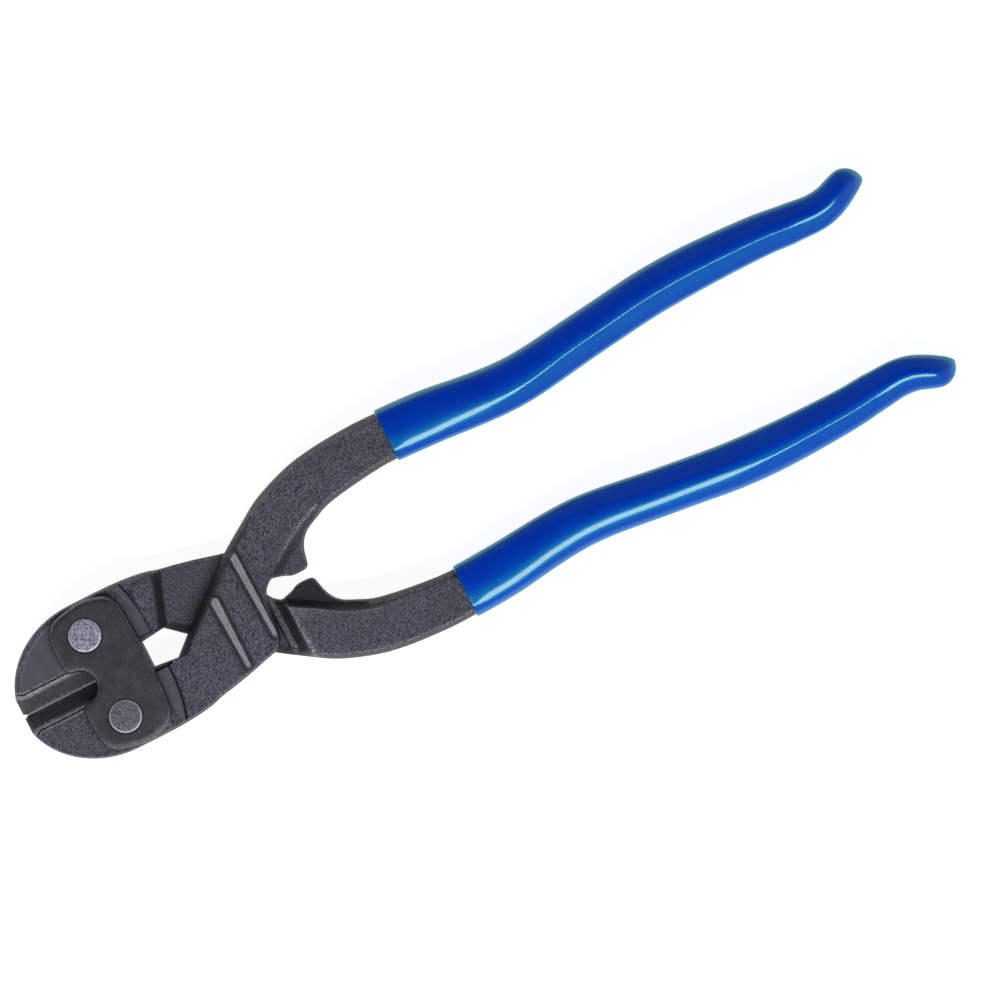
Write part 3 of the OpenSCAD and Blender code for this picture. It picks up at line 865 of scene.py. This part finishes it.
def forged_steel():
    """Black oxide over forging scale, milled seats, ground and scuffed edges, and painted shade on the walls
    and troughs.
    """
    p = Paint("forged_steel", Metallic=0.35, IOR=1.5)
    p.shader.inputs["Specular IOR Level"].default_value = 0.35
    ripple = p.noise(0.19, 4, 0.62, along=30, longer=2.4)
    grain = p.noise(0.15, 4, 0.65)
    patch = p.noise(5.5, 3, 0.5)
    machined, worn = p.mark("machined"), p.mark("worn")
    ground, rib_top, painted_shade = p.mark("ground"), p.mark("rib_top"), p.mark("painted_shade")
    strip = p.mark("strip")
    skin = p.mix(p.levels(ripple, 0.40, 0.61), (0.011, 0.010, 0.016), (0.149, 0.148, 0.199))
    skin = p.mix(p.levels(patch, 0.35, 0.7, 0.0, 0.35), skin, (0.042, 0.041, 0.054))
    lines = p.noise(0.25, 3, 0.6, along=90, longer=6)
    cloud = p.noise(2.2, 3, 0.5)
    milled = p.mix(p.levels(lines, 0.3, 0.7), (0.048, 0.046, 0.060), (0.060, 0.058, 0.075))
    milled = p.mix(p.levels(cloud, 0.4, 0.7, 0, 0.3), milled, (0.085, 0.083, 0.105))
    colour = p.mix(machined, skin, milled)
    scratch = p.noise(0.16, 3, 0.7, along=90, longer=5)
    bright = p.mix(p.levels(scratch, 0.35, 0.72), (0.022, 0.022, 0.025), (0.105, 0.104, 0.112))
    bright = p.mix(p.levels(grain, 0.5, 0.62, 0, 0.7), bright, (0.19, 0.19, 0.2))
    colour = p.mix(ground, colour, bright)
    scuffed = p.mix(p.levels(grain, 0.42, 0.6), (0.07, 0.07, 0.077), (0.56, 0.56, 0.59))
    colour = p.mix(strip, colour, scuffed)
    topped = p.mix(p.levels(scratch, 0.3, 0.7), (0.15, 0.148, 0.17), (0.32, 0.317, 0.35))
    colour = p.mix(rib_top, colour, topped)
    # painted shade: walls, troughs, the ramp and the crossing's shadow turn near black
    colour = p.mix(p.levels(painted_shade, 0.1, 0.55, 0.0, 0.8), colour, (0.007, 0.007, 0.009))
    chips = p.levels(p.noise(0.32, 5, 0.8), 0.5, 0.57)
    shine = p.math("MULTIPLY", chips, worn)
    colour = p.mix(shine, colour, (0.42, 0.42, 0.45))
    rough = p.levels(grain, 0.35, 0.65, 0.58, 0.42)
    rough = p.blend(shine, rough, 0.36)
    height = p.math("MULTIPLY_ADD", grain, 0.5, ripple)
    height = p.math("MULTIPLY", height, p.levels(machined, 0, 1, 1, 0.08))
    normal = p.bump(height, 0.3)
    normal = p.bump(p.math("MULTIPLY", scratch, p.math("MAXIMUM", ground, rib_top)), 0.02, normal)
    return p.feed(Base_Color=colour, Roughness=rough, Normal=normal)


def plate_steel():
    """Blackened smooth plate, blotched, with its rolled edge rubbed brighter."""
    p = Paint("plate_steel", Metallic=0.35, IOR=1.5)
    p.shader.inputs["Specular IOR Level"].default_value = 0.35
    grain = p.noise(0.3, 4, 0.65)
    blotch = p.noise(2.8, 5, 0.65)
    worn = p.mark("worn")
    colour = p.mix(p.levels(grain, 0.3, 0.7), (0.019, 0.018, 0.025), (0.033, 0.032, 0.042))
    colour = p.mix(p.levels(blotch, 0.45, 0.7, 0, 0.6), colour, (0.048, 0.047, 0.060))
    specks = p.levels(p.noise(0.28, 3, 0.6), 0.66, 0.72, 0, 0.5)
    colour = p.mix(specks, colour, (0.11, 0.11, 0.12))
    chips = p.math("MULTIPLY", p.levels(p.noise(0.5, 5, 0.75), 0.44, 0.62, 0.05, 0.75), worn)
    colour = p.mix(chips, colour, (0.22, 0.22, 0.245))
    rough = p.levels(blotch, 0.3, 0.7, 0.38, 0.5)
    return p.feed(Base_Color=colour, Roughness=rough, Normal=p.bump(grain, 0.025))


def rivet_steel():
    """Peened heads, mottled black and bright, one more polished than the other."""
    p = Paint("rivet_steel", Metallic=0.5, IOR=1.5)
    mottle = p.noise(0.42, 6, 0.75)
    fine = p.noise(0.2, 4, 0.7)
    worn, polish = p.mark("worn"), p.mark("polish")
    light = p.mix(polish, (0.06, 0.059, 0.067), (0.36, 0.36, 0.48))
    colour = p.mix(p.levels(mottle, 0.4, 0.6), (0.03, 0.03, 0.038), light)
    colour = p.mix(p.levels(fine, 0.34, 0.5, 0.6, 0.0), colour, (0.03, 0.03, 0.04))
    colour = p.mix(p.math("MULTIPLY", worn, p.levels(mottle, 0.3, 0.55, 0.35, 1)), colour,
                   (0.55, 0.55, 0.60))
    rough = p.levels(mottle, 0.3, 0.7, 0.55, 0.38)
    return p.feed(Base_Color=colour, Roughness=rough, Normal=p.bump(mottle, 0.06))


def dipped_vinyl():
    """Thick glossy blue vinyl, whose sheen turns teal at a slant, with a painted teal reflection on its
    steep flanks and painted shade at the mouth's lip.
    """
    p = Paint("dipped_vinyl", IOR=1.5, Coat_Weight=0.5, Coat_Roughness=0.1, Sheen_Weight=0.7,
              Sheen_Roughness=0.3)
    p.shader.inputs["Specular Tint"].default_value = (0.05, 1.0, 0.35, 1)
    p.shader.inputs["Coat Tint"].default_value = (0.3, 1.0, 0.92, 1)
    p.shader.inputs["Sheen Tint"].default_value = (0.05, 1.0, 0.8, 1)
    painted_flank_reflection = p.mark("painted_flank_reflection")
    cloud = p.noise(9.0, 2, 0.5)
    speck = p.noise(0.5, 3, 0.6)
    colour = p.mix(p.levels(cloud, 0.3, 0.7), (0.0, 0.020, 0.345), (0.0, 0.026, 0.375))
    colour = p.mix(p.levels(speck, 0.6, 0.8, 0, 0.2), colour, (0.0, 0.045, 0.32))
    # painted reflection: the steep flanks are coloured lighter teal
    colour = p.mix(painted_flank_reflection, colour, (0.0, 0.085, 0.39))
    # painted shade at the lip of the mouth
    colour = p.mix(p.mark("painted_lip_shade"), colour, (0.0, 0.006, 0.04))
    rough = p.levels(speck, 0.3, 0.8, 0.3, 0.36)
    return p.feed(Base_Color=colour, Roughness=rough)


def pale_floor():
    """A white light table: it glows a little, so that shadows on it stay faint."""
    p = Paint("pale_floor", IOR=1.3, Emission_Strength=0.93)
    p.shader.inputs["Emission Color"].default_value = (1, 1, 1, 1)
    tone = p.mix(p.levels(p.noise(40, 3, 0.5), 0.3, 0.7), (0.24, 0.24, 0.24), (0.26, 0.26, 0.26))
    return p.feed(Base_Color=tone, Roughness=p.levels(p.noise(1.5, 3, 0.5), 0.3, 0.7, 0.85, 0.95))


# ---------------------------------------------------------------- stage, light and camera

ROLL = math.radians(26.87)          # how far the tool is turned in the picture
VIEW_WIDTH = 201.7 * MM             # width of the picture at the tool's mid-plane
VIEW_CENTRE = (5.39 * MM, -4.33 * MM)
LENS = 500


def build_floor(material):
    half = 4.0
    mesh = bpy.data.meshes.new("floor")
    z = -0.03 * MM      # clear of the rivets' uneven heads
    mesh.from_pydata([(-half, -half, z), (half, -half, z), (half, half, z), (-half, half, z)], [],
                     [(0, 1, 2, 3)])
    mesh.materials.append(material)
    floor = bpy.data.objects.new("floor", mesh)
    bpy.context.scene.collection.objects.link(floor)


def area_light(name, azimuth, tilt, distance, length, width, power):
    """A softbox aimed at the tool: azimuth from +X, tilt from straight up, its length level."""
    data = bpy.data.lights.new(name, "AREA")
    data.shape = "RECTANGLE"
    data.size, data.size_y, data.energy = length, width, power
    a, t = math.radians(azimuth), math.radians(tilt)
    away = Vector((math.cos(a) * math.sin(t), math.sin(a) * math.sin(t), math.cos(t)))
    obj = bpy.data.objects.new(name, data)
    obj.location = away * distance
    level = Vector((-math.sin(a), math.cos(a), 0))
    obj.rotation_euler = Matrix((level, away.cross(level), away)).transposed().to_euler()
    bpy.context.scene.collection.objects.link(obj)


def build_light():
    """One long softbox, and a room that is bright at the sides and dark overhead."""
    area_light("key_softbox", azimuth=-104, tilt=30, distance=1.0, length=1.2, width=0.22, power=13.2)
    world = bpy.data.worlds.new("studio")
    world.use_nodes = True
    bpy.context.scene.world = world
    tree = world.node_tree
    background = tree.nodes["Background"]
    background.inputs["Color"].default_value = (0.95, 0.98, 1.0, 1)
    toward = tree.nodes.new("ShaderNodeTexCoord").outputs["Generated"]
    split = tree.nodes.new("ShaderNodeSeparateXYZ")
    fade = tree.nodes.new("ShaderNodeMapRange")
    for name, value in (("From Min", 0.35), ("From Max", 0.85), ("To Min", 0.75), ("To Max", 0.08)):
        fade.inputs[name].default_value = value
    across = tree.nodes.new("ShaderNodeMapRange")
    for name, value in (("From Min", -0.5), ("From Max", 0.5), ("To Min", 1.0), ("To Max", 0.5)):
        across.inputs[name].default_value = value
    both = tree.nodes.new("ShaderNodeMath")
    both.operation = "MULTIPLY"
    tree.links.new(toward, split.inputs[0])
    tree.links.new(split.outputs["Z"], fade.inputs["Value"])
    tree.links.new(split.outputs["Y"], across.inputs["Value"])
    tree.links.new(fade.outputs[0], both.inputs[0])
    tree.links.new(across.outputs[0], both.inputs[1])
    tree.links.new(both.outputs[0], background.inputs["Strength"])


def build_camera():
    """Straight above the tool, far off, with the tool turned by ROLL in the picture."""
    data = bpy.data.cameras.new("camera")
    data.lens, data.sensor_width = LENS, 36
    data.clip_start, data.clip_end = 0.01, 50
    camera = bpy.data.objects.new("camera", data)
    height = MID * MM + VIEW_WIDTH * LENS / 36
    camera.location = (*VIEW_CENTRE, height)
    camera.rotation_euler = (0, 0, -ROLL)
    bpy.context.scene.collection.objects.link(camera)
    bpy.context.scene.camera = camera


# ---------------------------------------------------------------- the scene

build_camera()
build_levers(forged_steel())
build_plates(plate_steel())
build_rivets(rivet_steel())
build_grips(dipped_vinyl())
build_floor(pale_floor())
build_light()
bpy.context.scene.view_settings.view_transform = "Standard"
